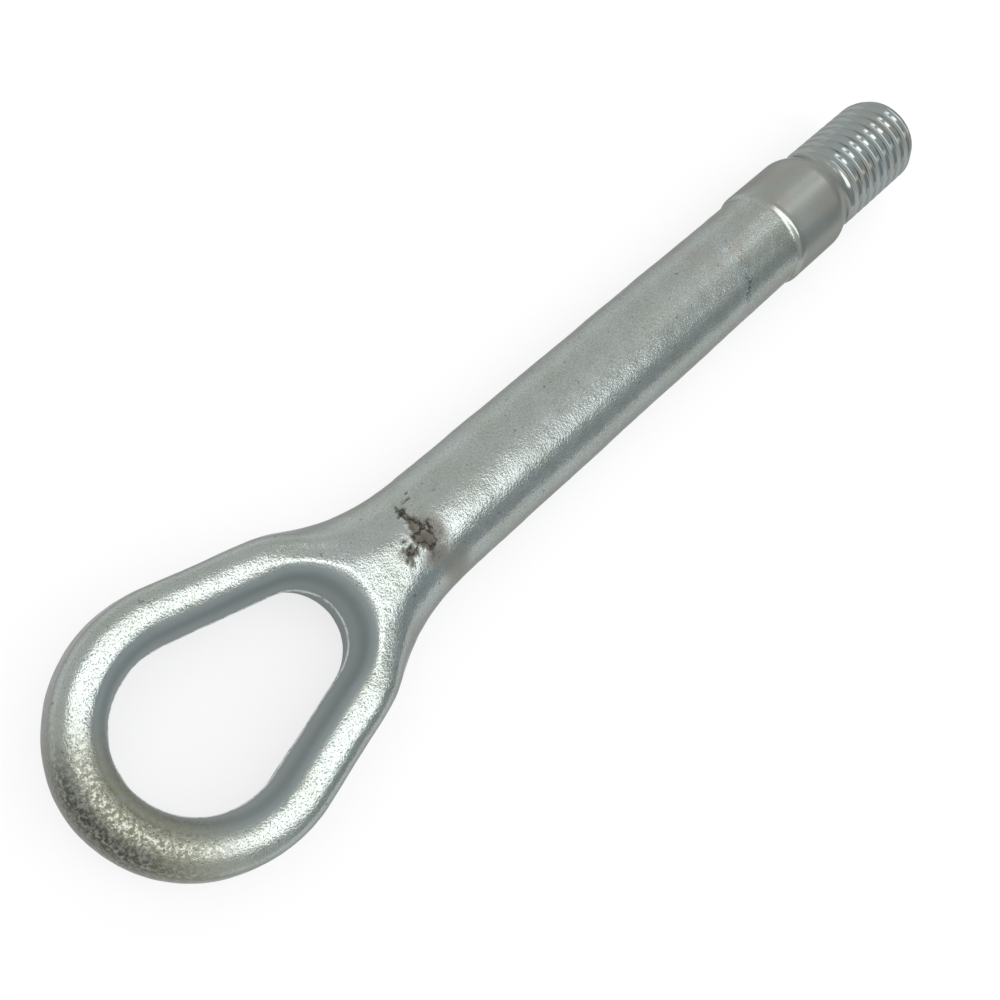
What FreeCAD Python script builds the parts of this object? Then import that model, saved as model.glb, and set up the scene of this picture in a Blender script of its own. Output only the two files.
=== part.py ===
"""Screw-in tow eye: one drop-forged steel piece with a pear-shaped eye, a long
tapered shank, a machined pilot collar and a threaded end.

The shank axis is X, the eye lies flat in XY and +Z is up. The body is drawn with
the centre of the eye's large arc at its own origin, then placed so that the row's
origin is under the middle of the piece, at the level of the surface it lies on.
"""
import FreeCAD, Part
import Sketcher
import math
import os

NODE = "tow_eye"

# Driving dimensions in millimetres: alias, value and what it measures.
DIMENSIONS = [
    ("eye_arc_radius", 18.1, "centreline radius of the eye's large arc"),
    ("crotch_arc_radius", 13.2, "centreline radius of the eye's small arc, at the shank"),
    ("eye_arc_spacing", 19.0, "distance between the centres of the two arcs"),
    ("eye_bar_width", 9.4, "width of the eye's bar at its parting line, in the plane of the eye"),
    ("eye_bar_height", 19.8, "height of the eye's bar"),
    ("eye_draft_angle", 7.0, "draft of the bar's sides above and below the parting line, in degrees"),
    ("flare_radius", 44.0, "concave radius between the eye's outside and the shank"),
    ("flare_inset", 0.25, "how far the flare's start lies inside the eye's outside"),
    ("flare_eye_height", 19.4, "height of the flare where it runs into the eye"),
    ("flare_land", 0.1, "half width of the flare's flat top where it starts on the shank"),
    ("shank_eye_diameter", 19.7, "shank diameter at the eye end"),
    ("shank_collar_diameter", 19.2, "shank diameter at the collar end"),
    ("eye_to_collar", 141.1, "from the centre of the eye to the start of the collar"),
    ("lead_in_length", 2.6, "cone from the shank up to the collar"),
    ("collar_diameter", 20.3, "pilot collar diameter"),
    ("collar_length", 12.8, "length of the cylindrical collar"),
    ("shoulder_length", 4.5, "cone from the collar down to the neck"),
    ("neck_diameter", 17.2, "plain neck before the thread"),
    ("neck_length", 2.6, "length of the plain neck"),
    ("thread_diameter", 18.0, "major diameter of the thread"),
    ("thread_run_in", 0.6, "length of the cone where the thread starts"),
    ("thread_length", 18.0, "length of the thread at its full diameter"),
    ("tip_chamfer_length", 2.2, "length of the chamfer at the threaded end"),
    ("tip_diameter", 16.0, "diameter of the flat end face"),
]
SIZE = {alias: value for alias, value, meaning in DIMENSIONS}

# Number of sections that the flare is carried through, from the shank to the eye.
FLARE_SECTIONS = 5

doc = FreeCAD.newDocument("TowEye")


def make_sheet():
    """Spreadsheet with one named cell for each driving dimension."""
    sheet = doc.addObject("Spreadsheet::Sheet", "Sizes")
    for row, (alias, value, meaning) in enumerate(DIMENSIONS, start=1):
        sheet.set(f"A{row}", meaning)
        sheet.set(f"B{row}", str(value))
        sheet.setAlias(f"B{row}", alias)
    doc.recompute()
    return sheet


def origin_plane(body, role):
    """Origin plane of a body, found by its role."""
    return next(feature for feature in body.Origin.OriginFeatures if feature.Role == role)


def new_sketch(body, name, role):
    """Empty sketch on one of the body's origin planes."""
    sketch = body.newObject("Sketcher::SketchObject", name)
    sketch.AttachmentSupport = [(origin_plane(body, role), "")]
    sketch.MapMode = "FlatFace"
    return sketch


def constrain(sketch, kind, *references):
    """Geometric constraint with no size of its own."""
    sketch.addConstraint(Sketcher.Constraint(kind, *references))


def dimension(sketch, name, expression, kind, *references):
    """Dimensional constraint whose size follows an expression of the sheet's cells."""
    index = sketch.addConstraint(Sketcher.Constraint(kind, *references))
    sketch.renameConstraint(index, name)
    sketch.setExpression("Constraints." + name, expression)


class Point:
    """Positions on a piece of sketch geometry that a constraint can name."""
    START, END, CENTRE = range(1, 4)


# The sketch's own origin and X axis, as constraints name them.
ORIGIN = (-1, Point.START)
X_AXIS = -1


def arc(centre, radius, start_angle, end_angle):
    """Arc of a circle in the sketch plane, counter-clockwise between two angles."""
    circle = Part.Circle(FreeCAD.Vector(*centre, 0), FreeCAD.Vector(0, 0, 1), radius)
    return Part.ArcOfCircle(circle, start_angle, end_angle)


def line(start, end):
    """Straight segment in the sketch plane."""
    return Part.LineSegment(FreeCAD.Vector(*start, 0), FreeCAD.Vector(*end, 0))


def eye_centreline(body):
    """Closed pear-shaped centreline: a large arc, a small arc and their two tangents."""
    large = SIZE["eye_arc_radius"]
    small = SIZE["crotch_arc_radius"]
    spacing = SIZE["eye_arc_spacing"]
    touch = math.acos((large - small) / spacing)
    leave = (large * math.cos(touch), large * math.sin(touch))
    arrive = (spacing + small * math.cos(touch), small * math.sin(touch))

    sketch = new_sketch(body, "EyeCentreline", "XY_Plane")
    far_low = sketch.addGeometry(arc((0, 0), large, math.pi, 2 * math.pi - touch))
    low = sketch.addGeometry(line((leave[0], -leave[1]), (arrive[0], -arrive[1])))
    near = sketch.addGeometry(arc((spacing, 0), small, -touch, touch))
    high = sketch.addGeometry(line(arrive, leave))
    far_high = sketch.addGeometry(arc((0, 0), large, touch, math.pi))
    constrain(sketch, "Tangent", far_low, Point.END, low, Point.START)
    constrain(sketch, "Tangent", low, Point.END, near, Point.START)
    constrain(sketch, "Tangent", near, Point.END, high, Point.START)
    constrain(sketch, "Tangent", high, Point.END, far_high, Point.START)
    constrain(sketch, "Coincident", far_high, Point.END, far_low, Point.START)
    constrain(sketch, "Coincident", far_low, Point.CENTRE, *ORIGIN)
    constrain(sketch, "Coincident", far_high, Point.CENTRE, *ORIGIN)
    constrain(sketch, "PointOnObject", far_low, Point.START, X_AXIS)
    constrain(sketch, "PointOnObject", near, Point.CENTRE, X_AXIS)
    dimension(sketch, "large", "Sizes.eye_arc_radius", "Radius", far_low, large)
    dimension(sketch, "small", "Sizes.crotch_arc_radius", "Radius", near, small)
    dimension(sketch, "spacing", "Sizes.eye_arc_spacing", "DistanceX", *ORIGIN, near, Point.CENTRE, spacing)
    return sketch


def eye_section(body):
    """Section of the eye's bar: drafted sides that meet at the parting line, under full-round crowns."""
    middle = -SIZE["eye_arc_radius"]
    half_width = SIZE["eye_bar_width"] / 2
    half_height = SIZE["eye_bar_height"] / 2
    draft = math.radians(SIZE["eye_draft_angle"])
    crown = (half_width - half_height * math.tan(draft)) / (1 / math.cos(draft) - math.tan(draft))
    crown_up = half_height - crown
    wall_out = crown * math.cos(draft)
    wall_up = crown_up + crown * math.sin(draft)
    crown_text = (
        "((Sizes.eye_bar_width - Sizes.eye_bar_height * tan(Sizes.eye_draft_angle)) / 2"
        " / (1 / cos(Sizes.eye_draft_angle) - tan(Sizes.eye_draft_angle)))"
    )
    crown_up_text = f"Sizes.eye_bar_height / 2 - {crown_text}"

    sketch = new_sketch(body, "EyeSection", "XZ_Plane")
    right_wall = sketch.addGeometry(line((middle + half_width, 0), (middle + wall_out, wall_up)))
    top = sketch.addGeometry(arc((middle, crown_up), crown, draft, math.pi - draft))
    left_wall = sketch.addGeometry(line((middle - wall_out, wall_up), (middle - half_width, 0)))
    left_low_wall = sketch.addGeometry(line((middle - half_width, 0), (middle - wall_out, -wall_up)))
    low = sketch.addGeometry(arc((middle, -crown_up), crown, math.pi + draft, 2 * math.pi - draft))
    right_low_wall = sketch.addGeometry(line((middle + wall_out, -wall_up), (middle + half_width, 0)))
    for before, after in ((right_wall, top), (top, left_wall), (left_low_wall, low), (low, right_low_wall)):
        constrain(sketch, "Tangent", before, Point.END, after, Point.START)
    constrain(sketch, "Coincident", left_wall, Point.END, left_low_wall, Point.START)
    constrain(sketch, "Coincident", right_low_wall, Point.END, right_wall, Point.START)
    constrain(sketch, "PointOnObject", left_wall, Point.END, X_AXIS)
    constrain(sketch, "PointOnObject", right_wall, Point.START, X_AXIS)
    constrain(sketch, "Vertical", top, Point.CENTRE, low, Point.CENTRE)
    constrain(sketch, "Equal", top, low)
    dimension(sketch, "outside", "Sizes.eye_arc_radius + Sizes.eye_bar_width / 2",
              "DistanceX", left_wall, Point.END, *ORIGIN, half_width - middle)
    dimension(sketch, "middle", "Sizes.eye_arc_radius", "DistanceX", top, Point.CENTRE, *ORIGIN, -middle)
    dimension(sketch, "width", "Sizes.eye_bar_width",
              "DistanceX", left_wall, Point.END, right_wall, Point.START, 2 * half_width)
    dimension(sketch, "crown", crown_text, "Radius", top, crown)
    dimension(sketch, "crown_up", crown_up_text, "DistanceY", *ORIGIN, top, Point.CENTRE, crown_up)
    dimension(sketch, "crown_down", crown_up_text, "DistanceY", low, Point.CENTRE, *ORIGIN, crown_up)
    return sketch


def make_eye(body, centreline):
    """Pear-shaped eye: the drafted bar carried round its centreline."""
    feature = body.newObject("PartDesign::AdditivePipe", "Eye")
    feature.Profile = eye_section(body)
    feature.Spine = centreline
    doc.recompute()
    return feature


# Flare: an arc in plan that leaves the eye's outside and meets the shank's side.
FLARE_START_RADIUS = SIZE["crotch_arc_radius"] + SIZE["eye_bar_width"] / 2 - SIZE["flare_inset"]
FLARE_REACH = FLARE_START_RADIUS + SIZE["flare_radius"]
FLARE_ACROSS = SIZE["shank_eye_diameter"] / 2 + SIZE["flare_radius"]
FLARE_RUN = math.sqrt(FLARE_REACH ** 2 - FLARE_ACROSS ** 2)
FLARE_LENGTH = FLARE_RUN * SIZE["flare_radius"] / FLARE_REACH
FLARE_END = SIZE["eye_arc_spacing"] + FLARE_RUN
REACH_TEXT = (
    "(Sizes.crotch_arc_radius + Sizes.eye_bar_width / 2 - Sizes.flare_inset + Sizes.flare_radius)")
RUN_TEXT = f"sqrt({REACH_TEXT}^2 - (Sizes.shank_eye_diameter / 2 + Sizes.flare_radius)^2)"
LENGTH_TEXT = f"({RUN_TEXT} * Sizes.flare_radius / {REACH_TEXT})"
FLARE_END_TEXT = f"Sizes.eye_arc_spacing + {RUN_TEXT}"


def flare_section(body, index):
    """Section across the flare, flat above and below with full-round sides, at one place along it."""
    share = index / (FLARE_SECTIONS - 1)
    back = share * FLARE_LENGTH
    bend = SIZE["flare_radius"] - math.sqrt(SIZE["flare_radius"] ** 2 - back ** 2)
    shank = SIZE["shank_eye_diameter"]
    round_radius = (shank + (SIZE["flare_eye_height"] - shank) * share) / 2
    flat = shank / 2 - round_radius + bend + SIZE["flare_land"] * (1 - share)
    bend_text = f"(Sizes.flare_radius - sqrt(Sizes.flare_radius^2 - ({share} * {LENGTH_TEXT})^2))"
    drop_text = f"((Sizes.shank_eye_diameter - Sizes.flare_eye_height) / 2 * {share})"
    round_text = f"Sizes.shank_eye_diameter / 2 - {drop_text}"
    flat_text = f"{drop_text} + {bend_text} + Sizes.flare_land * {1 - share}"

    sketch = new_sketch(body, f"FlareSection{index}", "YZ_Plane")
    sketch.setExpression("AttachmentOffset.Base.z", f"{FLARE_END_TEXT} - {share} * {LENGTH_TEXT}")
    right = sketch.addGeometry(arc((flat, 0), round_radius, -math.pi / 2, math.pi / 2))
    top = sketch.addGeometry(line((flat, round_radius), (-flat, round_radius)))
    left = sketch.addGeometry(arc((-flat, 0), round_radius, math.pi / 2, 3 * math.pi / 2))
    low = sketch.addGeometry(line((-flat, -round_radius), (flat, -round_radius)))
    for before, after in ((right, top), (top, left), (left, low), (low, right)):
        constrain(sketch, "Tangent", before, Point.END, after, Point.START)
    constrain(sketch, "Equal", right, left)
    constrain(sketch, "Symmetric", right, Point.CENTRE, left, Point.CENTRE, *ORIGIN)
    constrain(sketch, "PointOnObject", right, Point.CENTRE, X_AXIS)
    dimension(sketch, "side", round_text, "Radius", right, round_radius)
    dimension(sketch, "flat", flat_text, "DistanceX", *ORIGIN, right, Point.CENTRE, flat)
    return sketch


def make_flare(body):
    """Flare from the shank's end to the eye, carried through its sections."""
    sections = [flare_section(body, index) for index in range(FLARE_SECTIONS)]
    feature = body.newObject("PartDesign::AdditiveLoft", "Flare")
    feature.Profile = sections[0]
    feature.Sections = sections[1:]
    doc.recompute()
    return feature


def shank_profile(body):
    """Half outline of everything turned about the shank axis, from the flare to the thread's end."""
    full = SIZE["shank_eye_diameter"] / 2

    # Corners beyond the shank: name, step along the axis from the corner before it, and diameter.
    shank_end = SIZE["eye_to_collar"] - SIZE["lead_in_length"]
    corners = [
        ("collar_start", "lead_in_length", "collar_diameter"),
        ("collar_end", "collar_length", "collar_diameter"),
        ("neck_start", "shoulder_length", "neck_diameter"),
        ("neck_end", "neck_length", "neck_diameter"),
        ("thread_start", "thread_run_in", "thread_diameter"),
        ("thread_end", "thread_length", "thread_diameter"),
        ("tip", "tip_chamfer_length", "tip_diameter"),
    ]

    sketch = new_sketch(body, "ShankProfile", "XZ_Plane")
    end_face = sketch.addGeometry(line((FLARE_END, 0), (FLARE_END, full)))
    shank = sketch.addGeometry(
        line((FLARE_END, full), (shank_end, SIZE["shank_collar_diameter"] / 2)))
    constrain(sketch, "PointOnObject", end_face, Point.START, X_AXIS)
    constrain(sketch, "Vertical", end_face)
    constrain(sketch, "Coincident", end_face, Point.END, shank, Point.START)
    dimension(sketch, "flare_end", FLARE_END_TEXT,
              "DistanceX", *ORIGIN, end_face, Point.START, FLARE_END)
    dimension(sketch, "shank_eye", "Sizes.shank_eye_diameter / 2",
              "DistanceY", *ORIGIN, shank, Point.START, full)
    dimension(sketch, "shank_end", "Sizes.eye_to_collar - Sizes.lead_in_length",
              "DistanceX", *ORIGIN, shank, Point.END, shank_end)
    dimension(sketch, "shank_collar", "Sizes.shank_collar_diameter / 2",
              "DistanceY", *ORIGIN, shank, Point.END, SIZE["shank_collar_diameter"] / 2)

    last = shank
    at = (shank_end, SIZE["shank_collar_diameter"] / 2)
    for name, step, diameter in corners:
        corner = (at[0] + SIZE[step], SIZE[diameter] / 2)
        edge = sketch.addGeometry(line(at, corner))
        constrain(sketch, "Coincident", last, Point.END, edge, Point.START)
        dimension(sketch, name + "_step", f"Sizes.{step}",
                  "DistanceX", edge, Point.START, edge, Point.END, SIZE[step])
        dimension(sketch, name + "_radius", f"Sizes.{diameter} / 2",
                  "DistanceY", *ORIGIN, edge, Point.END, SIZE[diameter] / 2)
        last = edge
        at = corner

    tip_face = sketch.addGeometry(line(at, (at[0], 0)))
    constrain(sketch, "Coincident", last, Point.END, tip_face, Point.START)
    constrain(sketch, "Vertical", tip_face)
    constrain(sketch, "PointOnObject", tip_face, Point.END, X_AXIS)
    axis = sketch.addGeometry(line((at[0], 0), (FLARE_END, 0)))
    constrain(sketch, "Coincident", tip_face, Point.END, axis, Point.START)
    constrain(sketch, "Coincident", axis, Point.END, end_face, Point.START)
    return sketch


def make_shank(body):
    """Shank, collar, neck and thread, turned about the shank axis."""
    profile = shank_profile(body)
    feature = body.newObject("PartDesign::Revolution", "Shank")
    feature.Profile = profile
    feature.ReferenceAxis = (profile, ["H_Axis"])
    feature.Angle = 360
    doc.recompute()
    return feature


def cut_through(body, name, profile):
    """Pocket that runs through the whole body on both sides of its sketch."""
    feature = body.newObject("PartDesign::Pocket", name)
    feature.Profile = profile
    feature.Type = "ThroughAll"
    feature.Midplane = True
    doc.recompute()
    return feature


def make_tow_eye():
    """The whole forging, placed over the middle of the surface that it lies on."""
    body = doc.addObject("PartDesign::Body", "TowEyeBody")
    body.Label = NODE
    make_shank(body)
    make_flare(body)
    centreline = eye_centreline(body)
    cut_through(body, "EyeOpening", centreline)
    make_eye(body, centreline)
    body.setExpression(
        "Placement.Base.x",
        "(Sizes.eye_arc_radius + Sizes.eye_bar_width / 2 - Sizes.eye_to_collar"
        " - Sizes.collar_length - Sizes.shoulder_length - Sizes.neck_length"
        " - Sizes.thread_run_in - Sizes.thread_length - Sizes.tip_chamfer_length) / 2")
    body.setExpression(
        "Placement.Base.z",
        "max(Sizes.collar_diameter; Sizes.shank_eye_diameter; Sizes.eye_bar_height) / 2")
    doc.recompute()
    return body


def check_document(parts):
    """Stop if a feature failed or a sub-part has no valid solid."""
    for item in doc.Objects:
        if "Invalid" in item.State or "Error" in item.State:
            raise RuntimeError(f"{item.Label} failed: {item.State}")
    for part in parts:
        if part.Shape.isNull() or not part.Shape.isValid():
            raise RuntimeError(f"{part.Label} has no valid shape")
        if len(part.Shape.Solids) != 1:
            raise RuntimeError(f"{part.Label} is not one solid")


make_sheet()
tow_eye = make_tow_eye()
check_document([tow_eye])
os.makedirs("parts", exist_ok=True)
tow_eye.Shape.exportStep(f"parts/{tow_eye.Label}.step")
print(tow_eye.Label, "volume", round(tow_eye.Shape.Volume), "mm3, box", tow_eye.Shape.BoundBox)
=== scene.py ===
# Looks of a screw-in tow eye: one zinc-plated drop forging, lying on a pale floor.
# Shapes are worked out in millimetres with the centre of the eye's large arc as the
# origin, X along the shank and Z up, and are moved to the frame's place at the end.
# A pair of places or heights is where something begins and where it is complete.

import math

import bpy
import numpy as np
from mathutils import Euler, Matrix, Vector


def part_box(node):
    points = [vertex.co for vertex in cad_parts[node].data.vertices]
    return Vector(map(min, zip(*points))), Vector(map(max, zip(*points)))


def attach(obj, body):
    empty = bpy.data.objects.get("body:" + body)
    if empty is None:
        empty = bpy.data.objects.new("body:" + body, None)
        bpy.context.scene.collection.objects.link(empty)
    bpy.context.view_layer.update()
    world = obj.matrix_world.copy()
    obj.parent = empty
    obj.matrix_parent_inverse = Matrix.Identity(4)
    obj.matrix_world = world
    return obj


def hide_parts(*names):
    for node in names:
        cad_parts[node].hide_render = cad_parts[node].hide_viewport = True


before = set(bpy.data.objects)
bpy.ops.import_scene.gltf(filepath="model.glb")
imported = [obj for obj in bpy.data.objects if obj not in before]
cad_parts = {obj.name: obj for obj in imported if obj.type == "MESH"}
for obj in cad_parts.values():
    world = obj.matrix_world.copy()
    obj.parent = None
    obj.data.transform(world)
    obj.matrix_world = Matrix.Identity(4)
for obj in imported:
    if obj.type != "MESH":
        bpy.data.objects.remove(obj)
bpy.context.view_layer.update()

# Eye: a drafted bar round a pear-shaped centreline, with crowns a little fuller than round.
EYE_ARC = 18.1
CROTCH_ARC = 13.2
ARC_SPACING = 19.0
BAR_WIDTH = 9.4
BAR_HEIGHT = 19.8
DRAFT = math.radians(7.0)
CROWN_RADIUS = (
    (BAR_WIDTH - BAR_HEIGHT * math.tan(DRAFT)) / 2.0 / (1.0 / math.cos(DRAFT) - math.tan(DRAFT)))
CROWN_POWER = 2.35

# Flare between the eye and the shank: its side eases from the eye's draft to a full round.
FLARE_RADIUS = 44.0
FLARE_INSET = 0.25
INSET_FADE = (26.6, 36.6)
SIDE_EASE = (20.0, 38.0)

# Round part of the piece: the forged shank, then the turned collar and shoulder, the neck, the
# rolled thread and the chamfered tip. Its mesh is called the turned part.
SHANK_EYE_RADIUS = 9.85
SHANK_COLLAR_RADIUS = 9.6
SHANK_END = 138.5
LEAD_IN = (139.5, 140.9)
COLLAR_RADIUS = 10.15
SHOULDER = (153.2, 159.0)
NECK_RADIUS = 8.6
THREAD_RUN_IN = (158.6, 160.4)
THREAD_CREST = 170.95
THREAD_END = 179.6
THREAD_RADIUS = 9.0
THREAD_PITCH = 2.5
THREAD_DEPTH = 0.9
CREST_SHARE = 0.36
TIP = 181.8
TIP_RADIUS = 8.0

# Forged skin: shallow hammer marks with a finer peel on them, up to the turned collar.
HAMMER_HEIGHT = 0.04
PEEL_HEIGHT = 0.016
SKIN_FADE = (SHANK_END - 2.0, LEAD_IN[0] + 0.4)

# Parting line: a thin broken ridge of flash round the hole, much lower round the outside.
PARTING_HEIGHT = 0.2
PARTING_HALF_WIDTH = 0.4
PARTING_SIDE = (2.5, 4.0)
PARTING_FADE = (24.0, 34.0)
PARTING_BREAKS = 0.35
PARTING_OUTSIDE = 0.1

# Painted highlight along the ridge in the hole: its height above the floor, and how far off it the
# highlight ends and is complete.
FLASH_LEVEL = 10.4
FLASH_EDGE = (0.6, 0.35)

# Forge scar across the crest where the crotch runs into the shank: place along and across the
# shank, half length, half width and strength of its lump, its lobe towards the eye and its tail.
SCAR_SPOTS = (
    (43.8, 0.3, 2.1, 2.9, 1.0),
    (40.0, -0.7, 1.5, 1.5, 1.0),
    (43.6, 4.4, 0.8, 2.2, 0.75),
    (45.8, 6.0, 1.4, 0.6, 0.6),
)
SCAR_ROUGHNESS = 0.2
SCAR_RAGGEDNESS = 0.5
SCAR_EDGE = (0.15, 0.55)

# Smooth brown stain beside the scar, in spots of the same kind.
STAIN_SPOTS = (
    (45.6, -0.2, 2.1, 3.2, 1.0),
    (43.6, -3.6, 2.7, 1.7, 1.0),
    (46.0, -6.6, 3.0, 3.0, 0.6),
)

# Crack-like mark across the shank near the collar: angles are from +Z towards +Y, and its start,
# end and faint second half are shares of its length from the first angle.
CRACK_ANGLES = (-53.0, 14.0)
CRACK_X = (123.7, 126.7)
CRACK_HALF_WIDTH = 0.55
CRACK_DEPTH = 0.05
CRACK_WANDER = 0.5
CRACK_START = (0.0, 0.12)
CRACK_FAINT = (0.45, 0.6)
CRACK_FAINTNESS = 0.6
CRACK_END = (0.85, 1.0)

# Worn, yellowed stretch of the eye's far end and a dark mottled patch on its outer side, in degrees
# round the eye from the shank. Both fade towards the parting line.
WORN_TURN = 192.0
WORN_HALF_TURN = 47.0
DARK_PATCH_TURN = 183.0
DARK_PATCH_HALF_TURN = 31.0
DARK_PATCH_OFFSET = 2.7
DARK_PATCH_HALF_WIDTH = 1.6
WEAR_RISE = (-1.0, 6.0)

# Other kinds of surface. The hole's wall goes by the distance from the eye's centreline, its
# shoulder, which takes painted shade, by height, the speckled crest, where the lamp's highlight
# lies, by distances across, and the rest by places along. The wall's grey is partly painted shade.
HOLE_EDGE = (2.0, 2.6)
HOLE_SHOULDER = (2.5, 7.5)
CREST_INSET = 0.4
CREST_EDGE = (2.0, 3.2)
TOP_BAND_Y = -1.0
TOP_BAND_EDGE = (2.5, 5.5)
TOP_BAND_START = (24.0, 30.0)
TOP_BAND_FADE = (50.0, 85.0)
TOP_BAND_LOSS = 0.75
SHANK_START = (46.0, 70.0)
SMUDGE_START = (100.0, 128.0)
COLLAR_START = (LEAD_IN[1], LEAD_IN[1] + 1.5)
COLLAR_FADE = (SHOULDER[0], SHOULDER[0] + 2.0)
THREAD_START = (SHOULDER[1] - 1.0, SHOULDER[1] + 1.0)

# Millimetres in a metre.
PER_METRE = 1000.0

# Meshing: cells of the forged part up to the cut, then rings of the turned part, which are
# closer where there is more detail, and rings on the end face as shares of its radius.
CELL = 0.47
CUT = 56.0
SEGMENTS = 144
FIRST_RING = CUT + 0.6
CRACK_RINGS = (121.0, 129.5)
RING_STRETCHES = (
    (FIRST_RING, CRACK_RINGS[0], 0.85),
    (CRACK_RINGS[0], CRACK_RINGS[1], 0.3),
    (CRACK_RINGS[1], SHANK_END, 0.8),
    (SHANK_END, LEAD_IN[1], 0.22),
    (LEAD_IN[1], SHOULDER[0], 0.9),
    (SHOULDER[0], THREAD_RUN_IN[0], 0.36),
    (THREAD_RUN_IN[0], TIP, 0.14),
)
END_FACE_RINGS = (0.75, 0.45, 0.15)
SETTLE_STEP = 0.03
LEAST_SLOPE = 0.2


def smooth_step(low, high, value):
    """0 below low, 1 above high and a smooth rise between them."""
    t = np.clip((value - low) / (high - low), 0.0, 1.0)
    return t * t * (3.0 - 2.0 * t)


def make_waves(seed, count, shortest, longest):
    """Random plane waves that add up to a smooth noise with wavelengths between two lengths."""
    random = np.random.default_rng(seed)
    directions = random.normal(size=(count, 3))
    directions /= np.linalg.norm(directions, axis=1)[:, None]
    lengths = np.exp(random.uniform(math.log(shortest), math.log(longest), count))
    phases = random.uniform(0.0, 2.0 * math.pi, count)
    return directions * (2.0 * math.pi / lengths)[:, None], phases


def noise(points, waves):
    """Noise of about -1 to 1 at each point."""
    vectors, phases = waves
    total = np.zeros(len(points))
    for vector, phase in zip(vectors, phases):
        total += np.sin(points @ vector + phase)
    return total / math.sqrt(len(phases))


HAMMER_WAVES = make_waves(seed=11, count=28, shortest=9.0, longest=26.0)
PEEL_WAVES = make_waves(seed=12, count=40, shortest=2.0, longest=5.0)
SCAR_WAVES = make_waves(seed=13, count=40, shortest=1.1, longest=3.0)
BREAK_WAVES = make_waves(seed=14, count=24, shortest=2.5, longest=9.0)


def pear_distance(x, y):
    """Signed distance in plan from the eye's centreline, positive on the outside."""
    y = np.abs(y)
    lean = (EYE_ARC - CROTCH_ARC) / ARC_SPACING
    rise = math.sqrt(1.0 - lean * lean)
    along = rise * x - lean * y
    large = np.hypot(x, y) - EYE_ARC
    small = np.hypot(x - ARC_SPACING, y) - CROTCH_ARC
    side = rise * y + lean * x - EYE_ARC
    return np.where(along < 0.0, large, np.where(along > rise * ARC_SPACING, small, side))


def bar_distance(across, up):
    """Signed distance from the bar's section: drafted sides under crowned ends."""
    top = BAR_HEIGHT / 2.0 - CROWN_RADIUS
    foot = BAR_WIDTH / 2.0 - CROWN_RADIUS / math.cos(DRAFT)
    wall_length = top / math.cos(DRAFT)
    across = np.abs(across)
    up = np.abs(up)
    wall = (across - foot) * math.cos(DRAFT) + up * math.sin(DRAFT)
    climb = np.clip(up * math.cos(DRAFT) - (across - foot) * math.sin(DRAFT), 0.0, wall_length)
    out = np.abs(across - foot + climb * math.sin(DRAFT))
    rise = np.abs(up - climb * math.cos(DRAFT))
    to_wall = (out ** CROWN_POWER + rise ** CROWN_POWER) ** (1.0 / CROWN_POWER)
    return np.where(wall < 0.0, wall, to_wall) - CROWN_RADIUS


FLARE_REACH = CROTCH_ARC + BAR_WIDTH / 2.0 - FLARE_INSET + FLARE_RADIUS
FLARE_ACROSS = SHANK_EYE_RADIUS + FLARE_RADIUS
FLARE_RUN = math.sqrt(FLARE_REACH ** 2 - FLARE_ACROSS ** 2)
FLARE_END = ARC_SPACING + FLARE_RUN


def shank_radius(x):
    """Radius of the plain shank at each place along the axis."""
    along = np.clip((x - FLARE_END) / (SHANK_END - FLARE_END), 0.0, 1.0)
    return SHANK_EYE_RADIUS + (SHANK_COLLAR_RADIUS - SHANK_EYE_RADIUS) * along


def outline_depth(x, y):
    """Depth in plan inside the outer outline: the eye's outside, then the flare, then the shank."""
    y = np.abs(y)
    eye = BAR_WIDTH / 2.0 - pear_distance(x, y)
    flare = np.hypot(x - FLARE_END, y - FLARE_ACROSS) - FLARE_RADIUS
    flare = flare + FLARE_INSET * (1.0 - smooth_step(*INSET_FADE, x))
    past_eye = (x - ARC_SPACING) * FLARE_ACROSS > y * FLARE_RUN
    return np.where(x > FLARE_END, shank_radius(x) - y, np.where(past_eye, flare, eye))


def forging_distance(points):
    """Distance field of the eye, the crotch and the start of the shank, without surface marks."""
    x, y, z = points.T
    inner = bar_distance(np.minimum(pear_distance(x, y), 0.0), z)
    depth = outline_depth(x, y)
    radius = shank_radius(x)
    drafted = bar_distance(np.maximum(BAR_WIDTH / 2.0 - depth, 0.0), z)
    rounded = np.hypot(np.maximum(radius - depth, 0.0), z) - radius
    outer = drafted + (rounded - drafted) * smooth_step(*SIDE_EASE, x)
    return np.maximum(inner, outer)


def spots(points, places):
    """Largest of several soft elliptical spots on the upper side, 0 to 1."""
    x, y, z = points.T
    total = np.zeros(len(points))
    for along, across, half_length, half_width, strength in places:
        spread = ((x - along) / half_length) ** 2 + ((y - across) / half_width) ** 2
        total = np.maximum(total, strength * np.exp(-spread ** 2))
    return total * (z > 0.0)


def scar_weight(points):
    """How much of the forge scar there is at each point, 0 to 1, with a ragged edge."""
    ragged = points + SCAR_RAGGEDNESS * noise(points, SCAR_WAVES)[:, None]
    return smooth_step(*SCAR_EDGE, spots(ragged, SCAR_SPOTS))


def skin_height(points):
    """How far the forged skin stands above or below the plain shape."""
    height = HAMMER_HEIGHT * noise(points, HAMMER_WAVES) + PEEL_HEIGHT * noise(points, PEEL_WAVES)
    return height + SCAR_ROUGHNESS * scar_weight(points) * noise(points, SCAR_WAVES)


def parting_height(points):
    """Height of the ridge of flash along the parting line of the eye."""
    x, y, z = points.T
    plan = pear_distance(x, y)
    on_side = smooth_step(*PARTING_SIDE, np.abs(plan)) * (1.0 - smooth_step(*PARTING_FADE, x))
    broken = 1.0 - PARTING_BREAKS + PARTING_BREAKS * np.clip(noise(points, BREAK_WAVES), -1.0, 1.0)
    side_share = np.where(plan < 0.0, 1.0, PARTING_OUTSIDE)
    return PARTING_HEIGHT * np.exp(-(z / PARTING_HALF_WIDTH) ** 2) * on_side * broken * side_share


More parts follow.
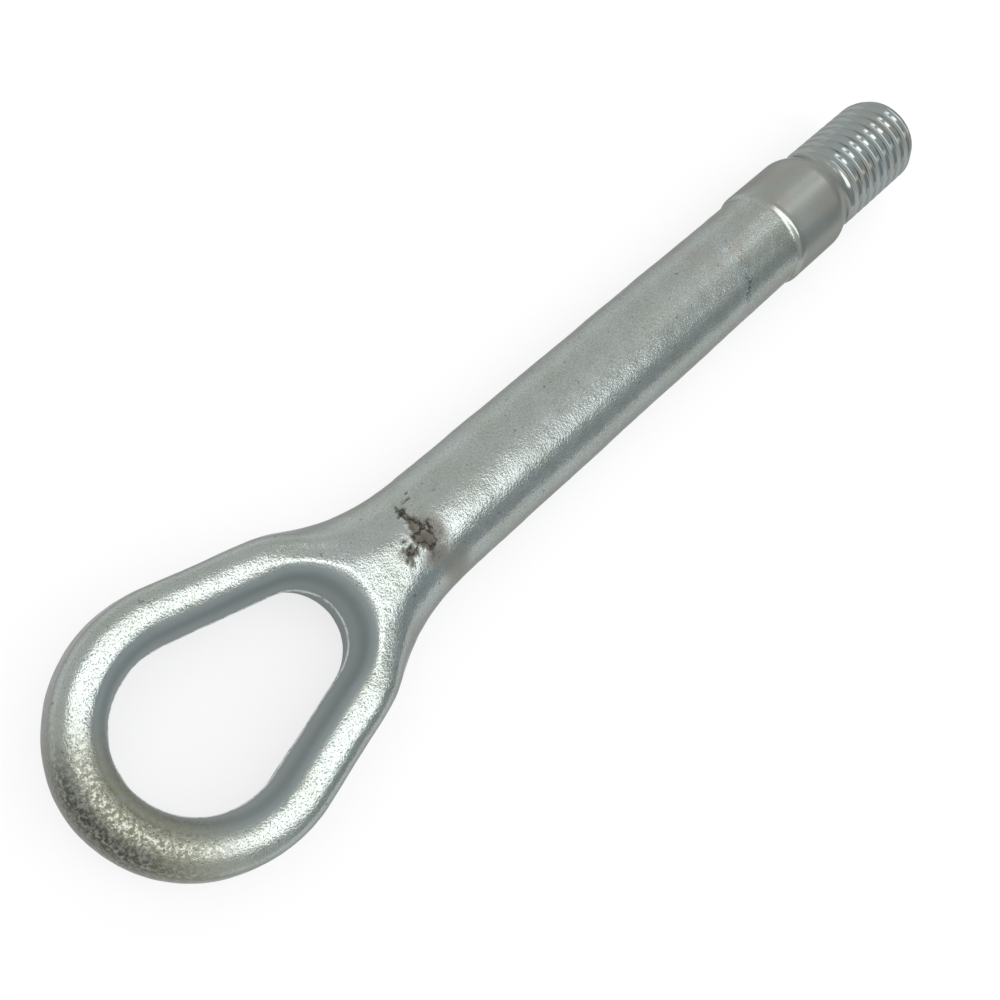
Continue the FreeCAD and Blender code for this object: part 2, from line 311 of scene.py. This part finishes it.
def detailed_distance(points):
    """Distance field of the forged part with its skin, scar and parting line."""
    return forging_distance(points) - skin_height(points) - parting_height(points)


def sample_grid():
    """Distances at the corners of a grid of cells that holds the forged part."""
    margin = 2.0 * CELL
    reach = EYE_ARC + BAR_WIDTH / 2.0 + margin
    half_height = BAR_HEIGHT / 2.0 + margin
    low = np.array([-reach, -reach, -half_height])
    high = np.array([CUT, reach, half_height])
    axes = [low[i] + CELL * np.arange(int(math.ceil((high[i] - low[i]) / CELL)) + 1) for i in range(3)]
    mesh = np.stack(np.meshgrid(*axes, indexing="ij"), axis=-1)
    return low, forging_distance(mesh.reshape(-1, 3)).reshape(mesh.shape[:3])


def cell_points(field):
    """Mean crossing of the surface with the edges of each cell, in cells from the grid's corner."""
    shape = tuple(n - 1 for n in field.shape)
    total = np.zeros(shape + (3,))
    count = np.zeros(shape)
    corners = [(i, j, k) for i in (0, 1) for j in (0, 1) for k in (0, 1)]
    for start in corners:
        for axis in range(3):
            if start[axis] == 1:
                continue
            end = tuple(start[i] + (i == axis) for i in range(3))
            a = field[tuple(slice(start[i], start[i] + shape[i]) for i in range(3))]
            b = field[tuple(slice(end[i], end[i] + shape[i]) for i in range(3))]
            crosses = (a < 0.0) != (b < 0.0)
            t = np.where(crosses, a / np.where(crosses, a - b, 1.0), 0.0)
            for i in range(3):
                total[..., i] += crosses * (start[i] + (t if i == axis else 0.0))
            count += crosses
    used = count > 0
    places = total[used] / count[used][:, None] + np.argwhere(used)
    return used, places


def cell_faces(field, index):
    """One face round each grid edge that crosses the surface, joining the four cells round it."""
    faces = []
    for axis in range(3):
        b, c = (axis + 1) % 3, (axis + 2) % 3
        lower = [slice(1, -1)] * 3
        lower[axis] = slice(0, -1)
        upper = list(lower)
        upper[axis] = slice(1, None)
        solid_below = field[tuple(lower)] < 0.0
        solid_above = field[tuple(upper)] < 0.0
        places = np.argwhere(solid_below != solid_above)
        outward = solid_below[tuple(places.T)]
        places[:, b] += 1
        places[:, c] += 1
        corners = []
        for db, dc in ((-1, -1), (0, -1), (0, 0), (-1, 0)):
            cell = places.copy()
            cell[:, b] += db
            cell[:, c] += dc
            corners.append(index[tuple(cell.T)])
        quad = np.stack(corners, axis=1)
        quad[~outward] = quad[~outward][:, ::-1]
        faces.append(quad)
    return np.concatenate(faces)


def settle(points, distance, rounds):
    """Points moved along the field's slope onto the surface."""
    for _ in range(rounds):
        slope = np.stack([
            (distance(points + SETTLE_STEP * axis) - distance(points - SETTLE_STEP * axis))
            / (2.0 * SETTLE_STEP) for axis in np.eye(3)], axis=1)
        size = np.maximum((slope ** 2).sum(axis=1), LEAST_SLOPE)
        points = points - slope * (distance(points) / size)[:, None]
    return points


def open_loop(faces):
    """The vertices round the open end of the forged mesh, in order."""
    edges = np.concatenate([np.stack([faces[:, i], faces[:, (i + 1) % 4]], axis=1) for i in range(4)])
    known = set(map(tuple, edges.tolist()))
    follow = {b: a for a, b in known if (b, a) not in known}
    first = min(follow)
    loop = [first]
    while follow[loop[-1]] != first:
        loop.append(follow[loop[-1]])
    return np.array(loop)


def forged_mesh():
    """Vertices, faces and open end of the eye, the crotch and the start of the shank."""
    low, field = sample_grid()
    used, places = cell_points(field)
    index = np.full(used.shape, -1)
    index[used] = np.arange(len(places))
    faces = cell_faces(field, index)
    points = settle(low + CELL * places, forging_distance, rounds=2)
    points = settle(points, detailed_distance, rounds=3)
    loop = open_loop(faces)
    end = points[loop]
    angle = np.arctan2(end[:, 2], end[:, 1])
    end[:, 0] = CUT
    radius = turned_radius(end[:, 0], angle)
    end[:, 1] = radius * np.cos(angle)
    end[:, 2] = radius * np.sin(angle)
    points[loop] = end
    return points, faces, loop


def crack_weight(points):
    """How much of the crack-like mark there is at each point, 0 to 1."""
    x, y, z = points.T
    angle = np.degrees(np.arctan2(y, z))
    along = (angle - CRACK_ANGLES[0]) / (CRACK_ANGLES[1] - CRACK_ANGLES[0])
    centre = CRACK_X[0] + (CRACK_X[1] - CRACK_X[0]) * along + CRACK_WANDER * noise(points, BREAK_WAVES)
    strength = smooth_step(*CRACK_START, along) * (1.0 - smooth_step(*CRACK_END, along))
    strength = strength * (1.0 - CRACK_FAINTNESS * smooth_step(*CRACK_FAINT, along))
    return np.exp(-((x - centre) / CRACK_HALF_WIDTH) ** 2) * strength


def thread_radius(x, angle):
    """Radius of the rolled thread, a right-hand helix with flat crests and rounded roots."""
    turn = (x - THREAD_CREST) / THREAD_PITCH - angle / (2.0 * math.pi)
    valley = smooth_step(CREST_SHARE / 2.0, 0.5, np.abs(turn - np.round(turn)))
    full = smooth_step(*THREAD_RUN_IN, x)
    radius = NECK_RADIUS + (THREAD_RADIUS - NECK_RADIUS) * full - THREAD_DEPTH * valley * full
    chamfer = np.interp(x, (THREAD_END, TIP), (THREAD_RADIUS, TIP_RADIUS))
    return np.minimum(radius, chamfer)


def turned_radius(x, angle):
    """Radius of the shank, collar, shoulder, neck and thread, with the forged skin on the shank."""
    radius = shank_radius(x)
    radius = radius + (COLLAR_RADIUS - radius) * smooth_step(*LEAD_IN, x)
    radius = radius + (thread_radius(x, angle) - radius) * smooth_step(*SHOULDER, x)
    points = np.stack([x, radius * np.cos(angle), radius * np.sin(angle)], axis=1)
    forged = 1.0 - smooth_step(*SKIN_FADE, x)
    return radius + forged * (skin_height(points) - CRACK_DEPTH * crack_weight(points))


def ring_places():
    """Places of the turned part's rings along the axis."""
    rings = []
    for start, end, step in RING_STRETCHES:
        rings.extend(np.linspace(start, end, int(math.ceil((end - start) / step)), endpoint=False))
    return np.array(rings + [TIP])


def turned_mesh():
    """Rings of vertices from the cut to the tip, with rings across the end face, and their faces."""
    angles = 2.0 * math.pi * np.arange(SEGMENTS) / SEGMENTS
    rings = ring_places()
    x = np.repeat(rings, SEGMENTS)
    angle = np.tile(angles, len(rings))
    radius = turned_radius(x, angle)
    tip_radius = radius[-SEGMENTS:]
    for share in END_FACE_RINGS:
        x = np.concatenate([x, np.full(SEGMENTS, TIP)])
        angle = np.concatenate([angle, angles])
        radius = np.concatenate([radius, share * tip_radius])
    points = np.stack([x, radius * np.cos(angle), radius * np.sin(angle)], axis=1)
    grid = np.arange(len(points)).reshape(-1, SEGMENTS)
    turned = np.roll(grid, -1, axis=1)
    faces = np.stack([grid[:-1], turned[:-1], turned[1:], grid[1:]], axis=-1).reshape(-1, 4)
    return points, faces, grid


def zip_loops(points, loop, ring):
    """Triangles between the forged part's open end and the turned part's first ring."""
    def turn(vertices):
        return np.unwrap(np.arctan2(points[vertices, 2], points[vertices, 1]))

    if turn(loop)[-1] < turn(loop)[0]:
        loop = loop[::-1]
    start = np.angle(np.exp(1j * (turn(ring) - turn(loop)[0])))
    ring = np.roll(ring, -int(np.argmin(np.abs(start))))
    a, b = turn(loop), turn(ring)
    b += 2.0 * math.pi * round((a[0] - b[0]) / (2.0 * math.pi))
    a = np.append(a, a[0] + 2.0 * math.pi)
    b = np.append(b, b[0] + 2.0 * math.pi)
    loop = np.append(loop, loop[0])
    ring = np.append(ring, ring[0])
    i = j = 0
    triangles = []
    while i < len(loop) - 1 or j < len(ring) - 1:
        if j == len(ring) - 1 or (i < len(loop) - 1 and a[i + 1] <= b[j + 1]):
            triangles.append((loop[i], loop[i + 1], ring[j]))
            i += 1
        else:
            triangles.append((loop[i], ring[j + 1], ring[j]))
            j += 1
    return triangles


def crown_share(points):
    """Share of the speckled crest, where the lamp's highlight lies: round the eye, then along the top of
    the shank, where it fades.
    """
    x, y, _ = points.T
    crest = 1.0 - smooth_step(*CREST_EDGE, np.abs(pear_distance(x, y) + CREST_INSET))
    top_band = (1.0 - smooth_step(*TOP_BAND_EDGE, np.abs(y - TOP_BAND_Y))) * smooth_step(*TOP_BAND_START, x)
    return np.maximum(crest, top_band * (1.0 - TOP_BAND_LOSS * smooth_step(*TOP_BAND_FADE, x)))


def surface_marks(points):
    """Shares of each kind of surface at the vertices, which the material reads."""
    x, y, z = points.T
    plan = pear_distance(x, y)
    turn = np.degrees(np.arctan2(y, x)) % 360.0
    upper = smooth_step(*WEAR_RISE, z)
    hole = smooth_step(*HOLE_EDGE, -plan)
    machined = smooth_step(*LEAD_IN, x)
    worn_spread = ((turn - WORN_TURN) / WORN_HALF_TURN) ** 4
    dark_patch_spread = ((turn - DARK_PATCH_TURN) / DARK_PATCH_HALF_TURN) ** 4
    dark_patch_offset = ((plan - DARK_PATCH_OFFSET) / DARK_PATCH_HALF_WIDTH) ** 2
    return {
        "hole_wall": hole,
        "hole_shoulder_shade": hole * smooth_step(*HOLE_SHOULDER, z),
        "machined": machined,
        "collar": smooth_step(*COLLAR_START, x) * (1.0 - smooth_step(*COLLAR_FADE, x)),
        "threaded": smooth_step(*THREAD_START, x),
        "crown": crown_share(points),
        "worn": np.exp(-worn_spread) * upper,
        "dark_patch": np.exp(-dark_patch_spread - dark_patch_offset) * upper,
        "smudged": smooth_step(*SMUDGE_START, x),
        "shank": smooth_step(*SHANK_START, x) * (1.0 - machined),
        "scar": scar_weight(points),
        "stain": spots(points, STAIN_SPOTS),
        "crack": crack_weight(points) * (1.0 - machined),
    }


def build_tow_eye():
    """The whole piece as one closed mesh in the frame's place."""
    forged, forged_faces, loop = forged_mesh()
    turned, turned_faces, grid = turned_mesh()
    points = np.concatenate([forged, turned])
    shift = len(forged)
    first_ring = grid[0] + shift
    last_ring = (grid[-1] + shift).tolist()
    faces = forged_faces.tolist()
    faces += (turned_faces + shift).tolist()
    faces += zip_loops(points, loop, first_ring)
    faces.append(last_ring)

    low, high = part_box("tow_eye")
    eye_centre = PER_METRE * low.x + EYE_ARC + BAR_WIDTH / 2.0
    middle = PER_METRE * (low.z + high.z) / 2.0
    place = np.array([eye_centre, 0.0, middle])
    mesh = bpy.data.meshes.new("tow_eye_looks")
    mesh.from_pydata(((points + place) / PER_METRE).tolist(), [], faces)
    for name, values in surface_marks(points).items():
        attribute = mesh.attributes.new(name, "FLOAT", "POINT")
        attribute.data.foreach_set("value", values.astype(np.float32))
    mesh.shade_smooth()
    mesh.update()
    piece = bpy.data.objects.new("tow_eye_looks", mesh)
    bpy.context.scene.collection.objects.link(piece)
    return piece


class Nodes:
    """Short calls for building a material's node tree."""

    def __init__(self, tree):
        self.tree = tree

    def add(self, kind, **settings):
        node = self.tree.nodes.new(kind)
        for name, value in settings.items():
            setattr(node, name, value)
        return node

    def feed(self, socket, value):
        """Socket set to a plain value or joined to another node's output."""
        if isinstance(value, bpy.types.NodeSocket):
            self.tree.links.new(value, socket)
        else:
            socket.default_value = value

    def math(self, operation, first, second=0.0, clamp=False):
        node = self.add("ShaderNodeMath", operation=operation, use_clamp=clamp)
        self.feed(node.inputs[0], first)
        self.feed(node.inputs[1], second)
        return node.outputs[0]

    def times(self, first, second):
        return self.math("MULTIPLY", first, second)

    def rest(self, share):
        """What is left of 1 beside a share."""
        return self.math("SUBTRACT", 1.0, share)

    def raised(self, value, share, amount):
        """Number raised by a share of an amount, and kept between 0 and 1."""
        return self.math("ADD", value, self.times(share, amount), clamp=True)

    def mix(self, factor, first, second):
        """Colour between two others."""
        node = self.add("ShaderNodeMix", data_type="RGBA")
        self.feed(node.inputs[0], factor)
        self.feed(node.inputs[6], first)
        self.feed(node.inputs[7], second)
        return node.outputs[2]

    def over(self, color, share, top, strength=1.0):
        """Colour with another laid over it, by a share times a strength."""
        return self.mix(self.times(share, strength), color, top)

    def blend(self, factor, first, second):
        """Number between two others."""
        node = self.add("ShaderNodeMix", data_type="FLOAT")
        self.feed(node.inputs[0], factor)
        self.feed(node.inputs[2], first)
        self.feed(node.inputs[3], second)
        return node.outputs[0]

    def noise(self, vector, scale, detail, roughness=0.5):
        node = self.add("ShaderNodeTexNoise")
        self.feed(node.inputs["Vector"], vector)
        self.feed(node.inputs["Scale"], scale)
        self.feed(node.inputs["Detail"], detail)
        self.feed(node.inputs["Roughness"], roughness)
        return node.outputs[0]

    def ramp(self, value, zero_at, one_at):
        """0 at one number, 1 at another, a straight change between them and level beyond them."""
        node = self.add("ShaderNodeMapRange")
        self.feed(node.inputs["Value"], value)
        self.feed(node.inputs["From Min"], zero_at)
        self.feed(node.inputs["From Max"], one_at)
        return node.outputs[0]

    def millimetres(self):
        """Place on the object in millimetres."""
        scale = self.add("ShaderNodeVectorMath", operation="SCALE")
        self.feed(scale.inputs[0], self.add("ShaderNodeTexCoord").outputs["Object"])
        self.feed(scale.inputs["Scale"], PER_METRE)
        return scale.outputs[0]

    def flash_line(self, place):
        """1 along the ridge where the forging dies met, where the painted highlight goes, and 0 a little
        above or below it.
        """
        parts = self.add("ShaderNodeSeparateXYZ")
        self.feed(parts.inputs[0], place)
        off = self.math("ABSOLUTE", self.math("SUBTRACT", parts.outputs["Z"], FLASH_LEVEL))
        return self.ramp(off, *FLASH_EDGE)

    def mark(self, name):
        """Share of a kind of surface, from surface_marks."""
        return self.add("ShaderNodeAttribute", attribute_name=name).outputs["Fac"]


# Colours of the plate and of the marks on it.
PLATE_WARM = (0.345, 0.372, 0.338, 1.0)
PLATE_COOL = (0.40, 0.435, 0.437, 1.0)
PLATE_CLOUD = (0.44, 0.472, 0.44, 1.0)
GRAIN_PALE = (0.52, 0.56, 0.525, 1.0)
GRAIN_DARK = (0.185, 0.20, 0.19, 1.0)
STRAY_PIT = (0.10, 0.105, 0.10, 1.0)
CREST_PIT_SHADE = (0.10, 0.105, 0.105, 1.0)
COLLAR_GREY = (0.305, 0.315, 0.29, 1.0)
THREAD_GREY = (0.30, 0.34, 0.345, 1.0)
SMUDGE_BROWN = (0.32, 0.30, 0.26, 1.0)
HOLE_WALL_SHADED_GREY = (0.33, 0.375, 0.38, 1.0)
HOLE_SHOULDER_SHADE = (0.235, 0.27, 0.272, 1.0)
WORN_KHAKI = (0.25, 0.245, 0.178, 1.0)
DARK_PATCH_BLACK = (0.06, 0.065, 0.062, 1.0)
STAIN_BROWN = (0.205, 0.19, 0.165, 1.0)
SCAR_DARK = (0.095, 0.086, 0.072, 1.0)
SCAR_PALE = (0.24, 0.22, 0.18, 1.0)
SCAR_VEIN = (0.032, 0.028, 0.025, 1.0)
CRACK_BLACK = (0.05, 0.05, 0.05, 1.0)
FLASH_HIGHLIGHT = (0.9, 0.92, 0.92, 1.0)
SPECULAR_TINT = (0.5, 0.5, 0.5, 1.0)

# Share of the grain's colours on the eye and on the shank.
GRAIN_SHARE = (0.26, 0.38)

# How metallic the plate, the scar and the hole's wall are.
PLATE_METALLIC = 1.0
SCAR_METALLIC = 0.35
HOLE_WALL_METALLIC = 0.3

# Roughness of each kind of surface, and what the shank, wear, scar and stain add to it. A pair
# is for the two ends of a pattern.
PLATE_ROUGHNESS = (0.18, 0.24)
MACHINED_ROUGHNESS = 0.18
COLLAR_ROUGHNESS = 0.34
THREAD_ROUGHNESS = 0.13
HOLE_WALL_ROUGHNESS = 0.55
SHANK_ADDS = 0.035
WORN_ADDS = (0.04, 0.46)
SCAR_ADDS = 0.3
STAIN_ADDS = 0.38

# Bump: its distance in metres, and the heights on it as shares of that. The grain is higher on
# the crest, and little of the forged skin's bump is left on the other surfaces.
BUMP_DISTANCE = 0.00007
PEEL_BUMP = 0.65
GRAIN_BUMP = (0.35, 0.65)
PIT_BUMP = 0.2
SKIN_BUMP = (0.06, 1.0)
SCAR_BUMP = 2.5

# Middle of a noise's values, where the scar's dark lines run.
NOISE_MIDDLE = 0.5


def zinc_patterns(n, place):
    """Noises of the plate, from wide blotches to fine grain. Scales are per millimetre."""
    speck = n.noise(place, scale=3.4, detail=1.0)
    return {
        "blotch": n.ramp(n.noise(place, scale=0.11, detail=3.0), zero_at=0.35, one_at=0.65),
        "smudge": n.ramp(n.noise(place, scale=0.16, detail=4.0), zero_at=0.48, one_at=0.68),
        "cloud": n.ramp(n.noise(place, scale=0.45, detail=4.0), zero_at=0.3, one_at=0.7),
        "vein": n.noise(place, scale=0.62, detail=3.0),
        "stray_pits": n.ramp(n.noise(place, scale=1.2, detail=1.0), zero_at=0.29, one_at=0.24),
        "grit": n.ramp(n.noise(place, scale=1.3, detail=4.0, roughness=0.65), zero_at=0.35, one_at=0.7),
        "mottle": n.ramp(n.noise(place, scale=1.5, detail=4.0, roughness=0.6), zero_at=0.40, one_at=0.56),
        "peel": n.noise(place, scale=1.9, detail=2.0),
        "speck": speck,
        "grain": n.ramp(speck, zero_at=0.3, one_at=0.7),
    }


def zinc_marks(n, pattern):
    """Shares of the kinds of surface, some of them broken up by a pattern."""
    names = ("hole_wall", "hole_shoulder_shade", "machined", "collar", "threaded", "shank", "worn", "scar")
    mark = {name: n.mark(name) for name in names}
    mark["forged"] = n.times(n.rest(mark["machined"]), n.rest(mark["hole_wall"]))
    mark["crown"] = n.times(n.mark("crown"), mark["forged"])
    # Dark pits on the crest where the highlight lies: partly real pits, partly painted shade specks.
    mark["pits"] = n.times(n.ramp(pattern["speck"], zero_at=0.40, one_at=0.33), mark["crown"])
    mark["stray_pits"] = n.times(pattern["stray_pits"], mark["forged"])
    mark["dark_patch"] = n.times(n.mark("dark_patch"), n.blend(pattern["mottle"], 0.35, 1.0))
    mark["stain"] = n.times(n.mark("stain"), n.rest(mark["scar"]))
    mark["crack"] = n.times(n.mark("crack"), n.ramp(pattern["speck"], zero_at=0.50, one_at=0.58))
    mark["smudge"] = n.times(n.mark("smudged"), pattern["smudge"])
    return mark


def scar_color(n, pattern):
    """Brown facets of the scar with dark lines between them."""
    off_vein = n.math("ABSOLUTE", n.math("SUBTRACT", pattern["vein"], NOISE_MIDDLE))
    facet = n.mix(pattern["cloud"], SCAR_DARK, SCAR_PALE)
    return n.over(facet, n.ramp(off_vein, zero_at=0.06, one_at=0.015), SCAR_VEIN)


def zinc_color(n, place, pattern, mark):
    """Blotched and grained grey, then each kind of surface and mark laid over it in turn."""
    grain = n.mix(pattern["grain"], GRAIN_PALE, GRAIN_DARK)
    color = n.mix(pattern["blotch"], PLATE_WARM, PLATE_COOL)
    color = n.over(color, pattern["cloud"], PLATE_CLOUD, strength=0.4)
    color = n.over(color, n.blend(mark["shank"], *GRAIN_SHARE), grain)
    color = n.over(color, mark["stray_pits"], STRAY_PIT, strength=0.55)
    color = n.over(color, mark["machined"], COLLAR_GREY, strength=0.7)
    color = n.over(color, mark["threaded"], THREAD_GREY, strength=0.7)
    color = n.over(color, mark["smudge"], SMUDGE_BROWN, strength=0.6)
    # The hole's wall: its own dull grey, made a little darker with painted shade.
    color = n.over(color, mark["hole_wall"], HOLE_WALL_SHADED_GREY)
    # Painted shade: the upper part of the hole's wall, darker towards the crown.
    color = n.over(color, mark["hole_shoulder_shade"], HOLE_SHOULDER_SHADE)
    color = n.over(color, mark["worn"], WORN_KHAKI, strength=n.blend(pattern["mottle"], 0.5, 0.95))
    color = n.over(color, mark["dark_patch"], DARK_PATCH_BLACK, strength=0.9)
    color = n.over(color, mark["stain"], STAIN_BROWN, strength=0.9)
    color = n.over(color, mark["scar"], scar_color(n, pattern))
    color = n.over(color, mark["crack"], CRACK_BLACK, strength=0.85)
    # Painted shade specks with the crest's pits: dark dots that break up the highlight.
    color = n.over(color, mark["pits"], CREST_PIT_SHADE, strength=0.6)
    # Painted highlight: a broken near-white line along the flash ridge on the hole's wall.
    flash = n.times(n.flash_line(place), mark["hole_wall"])
    broken = n.ramp(pattern["grit"], zero_at=0.1, one_at=0.45)
    return n.over(color, flash, FLASH_HIGHLIGHT, strength=broken)


def zinc_roughness(n, pattern, mark):
    """Bright plate and thread, satin collar, dull hole wall, and rougher wear, scar and stain."""
    rough = n.raised(n.blend(pattern["cloud"], *PLATE_ROUGHNESS), mark["shank"], SHANK_ADDS)
    rough = n.blend(mark["machined"], rough, MACHINED_ROUGHNESS)
    rough = n.blend(mark["collar"], rough, COLLAR_ROUGHNESS)
    rough = n.blend(mark["threaded"], rough, THREAD_ROUGHNESS)
    rough = n.blend(mark["hole_wall"], rough, HOLE_WALL_ROUGHNESS)
    rough = n.raised(rough, mark["worn"], n.blend(pattern["mottle"], *WORN_ADDS))
    rough = n.raised(rough, mark["scar"], SCAR_ADDS)
    return n.raised(rough, mark["stain"], STAIN_ADDS)


def zinc_bump(n, pattern, mark):
    """Peel and fine grain of the forged skin, its pits, and the grit of the scar."""
    fine = n.times(pattern["speck"], n.blend(mark["crown"], *GRAIN_BUMP))
    height = n.math("ADD", n.times(pattern["peel"], PEEL_BUMP), fine)
    height = n.math("SUBTRACT", height, n.times(mark["pits"], PIT_BUMP))
    height = n.times(height, n.blend(mark["forged"], *SKIN_BUMP))
    height = n.math("ADD", height, n.times(n.times(pattern["grit"], mark["scar"]), SCAR_BUMP))
    bump = n.add("ShaderNodeBump")
    n.feed(bump.inputs["Strength"], 1.0)
    n.feed(bump.inputs["Distance"], BUMP_DISTANCE)
    n.feed(bump.inputs["Height"], height)
    return bump.outputs[0]


def zinc_material():
    """Bright zinc plate: speckled on the forged skin, satin on the collar, stained at the scar."""
    material = bpy.data.materials.new("zinc_plated_steel")
    material.use_nodes = True
    n = Nodes(material.node_tree)
    shader = material.node_tree.nodes["Principled BSDF"]
    place = n.millimetres()
    pattern = zinc_patterns(n, place)
    mark = zinc_marks(n, pattern)
    metallic = n.blend(mark["scar"], PLATE_METALLIC, SCAR_METALLIC)
    metallic = n.blend(mark["hole_wall"], metallic, HOLE_WALL_METALLIC)
    n.feed(shader.inputs["Base Color"], zinc_color(n, place, pattern, mark))
    n.feed(shader.inputs["Specular Tint"], SPECULAR_TINT)
    n.feed(shader.inputs["Metallic"], metallic)
    n.feed(shader.inputs["Roughness"], zinc_roughness(n, pattern, mark))
    n.feed(shader.inputs["Normal"], zinc_bump(n, pattern, mark))
    return material


# Floor: its base colour takes the shadows. Its glow is seen by the camera and in the metal's
# reflections, and lights nothing.
FLOOR_HALF_WIDTH = 3.0
FLOOR_DARKER = (0.23, 0.23, 0.23, 1.0)
FLOOR_PALER = (0.25, 0.25, 0.25, 1.0)
FLOOR_GLOW_COLOR = (1.0, 1.0, 1.0, 1.0)
FLOOR_GLOW = 0.74
FLOOR_ROUGHNESS = 0.9


def floor_material():
    """Plain pale floor with a slight unevenness in its whiteness."""
    material = bpy.data.materials.new("pale_floor")
    material.use_nodes = True
    n = Nodes(material.node_tree)
    shader = material.node_tree.nodes["Principled BSDF"]
    cloud = n.noise(n.add("ShaderNodeTexCoord").outputs["Object"], scale=3.0, detail=2.0)
    rays = n.add("ShaderNodeLightPath").outputs
    seen = n.math("MAXIMUM", rays["Is Camera Ray"], rays["Is Glossy Ray"])
    seen = n.math("MAXIMUM", seen, rays["Is Transmission Ray"])
    n.feed(shader.inputs["Base Color"], n.mix(cloud, FLOOR_DARKER, FLOOR_PALER))
    n.feed(shader.inputs["Emission Color"], FLOOR_GLOW_COLOR)
    n.feed(shader.inputs["Emission Strength"], n.times(seen, FLOOR_GLOW))
    n.feed(shader.inputs["Roughness"], FLOOR_ROUGHNESS)
    n.feed(shader.inputs["Specular IOR Level"], 0.0)
    return material


def build_floor():
    """Wide flat floor at the level that the piece lies on."""
    half = FLOOR_HALF_WIDTH
    corners = [(-half, -half, 0.0), (half, -half, 0.0), (half, half, 0.0), (-half, half, 0.0)]
    mesh = bpy.data.meshes.new("floor")
    mesh.from_pydata(corners, [], [(0, 1, 2, 3)])
    mesh.materials.append(floor_material())
    floor = bpy.data.objects.new("floor", mesh)
    bpy.context.scene.collection.objects.link(floor)


# Lamps hang at one height above the floor, in metres, and the surround is pale all round but
# duller towards one side.
LAMP_HEIGHT = 1.0
SURROUND_PALE = (0.95, 0.96, 0.95, 1.0)
SURROUND_DULL = (0.50, 0.55, 0.57, 1.0)
SURROUND_STRENGTH = 0.88
DULL_SIDE = Vector((0.62, -0.74, 0.25)).normalized()
DULL_EDGE = (0.55, 0.95)


def overhead_lamp(name, place, size, radiance, turn=0.0):
    """Rectangular soft light above the piece that faces down, turned in plan by some degrees."""
    light = bpy.data.lights.new(name, "AREA")
    light.shape = "RECTANGLE"
    light.size, light.size_y = size
    light.energy = radiance * math.pi * size[0] * size[1]
    lamp = bpy.data.objects.new(name, light)
    lamp.location = (*place, LAMP_HEIGHT)
    lamp.rotation_euler.z = math.radians(turn)
    bpy.context.scene.collection.objects.link(lamp)


def add_lamps():
    """A slanting row of light over the eye, and three small lights that the thread mirrors."""
    overhead_lamp("lamp_row", place=(0.09, -0.16), size=(0.50, 1.60), radiance=2.2, turn=28.0)
    overhead_lamp("lamp_far_left", place=(1.33, 0.708), size=(0.20, 0.28), radiance=2.8)
    overhead_lamp("lamp_far_middle", place=(1.13, 0.199), size=(0.18, 0.28), radiance=3.4)
    overhead_lamp("lamp_far_right", place=(1.44, -0.89), size=(0.20, 0.45), radiance=1.0)


def add_surround():
    """Pale surround, duller towards one side beyond the shank, which gives the metal its dark bands."""
    world = bpy.data.worlds.new("surround")
    world.use_nodes = True
    n = Nodes(world.node_tree)
    background = world.node_tree.nodes["Background"]
    towards = n.add("ShaderNodeVectorMath", operation="DOT_PRODUCT")
    n.feed(towards.inputs[0], n.add("ShaderNodeTexCoord").outputs["Generated"])
    n.feed(towards.inputs[1], DULL_SIDE)
    share = n.ramp(towards.outputs["Value"], *DULL_EDGE)
    n.feed(background.inputs["Color"], n.mix(share, SURROUND_PALE, SURROUND_DULL))
    n.feed(background.inputs["Strength"], SURROUND_STRENGTH)
    bpy.context.scene.world = world


# The photo's camera: its place in metres and its turns in degrees.
CAMERA_PLACE = (-0.10496, 0.007353, 0.207369)
CAMERA_TURNS = (13.75003, -20.00363, -43.24915)
CAMERA_LENS = 45.4224
CAMERA_SENSOR = 36.0
CAMERA_NEAREST = 0.01


def add_camera():
    """Camera above the eye, looking down along the shank."""
    camera = bpy.data.cameras.new("camera")
    camera.sensor_width = CAMERA_SENSOR
    camera.lens = CAMERA_LENS
    camera.clip_start = CAMERA_NEAREST
    holder = bpy.data.objects.new("camera", camera)
    holder.location = CAMERA_PLACE
    holder.rotation_euler = Euler([math.radians(turn) for turn in CAMERA_TURNS], "XYZ")
    bpy.context.scene.collection.objects.link(holder)
    bpy.context.scene.camera = holder


tow_eye = build_tow_eye()
tow_eye.data.materials.append(zinc_material())
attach(tow_eye, "root")
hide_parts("tow_eye")
build_floor()
add_lamps()
add_surround()
add_camera()
bpy.context.scene.view_settings.view_transform = "Standard"
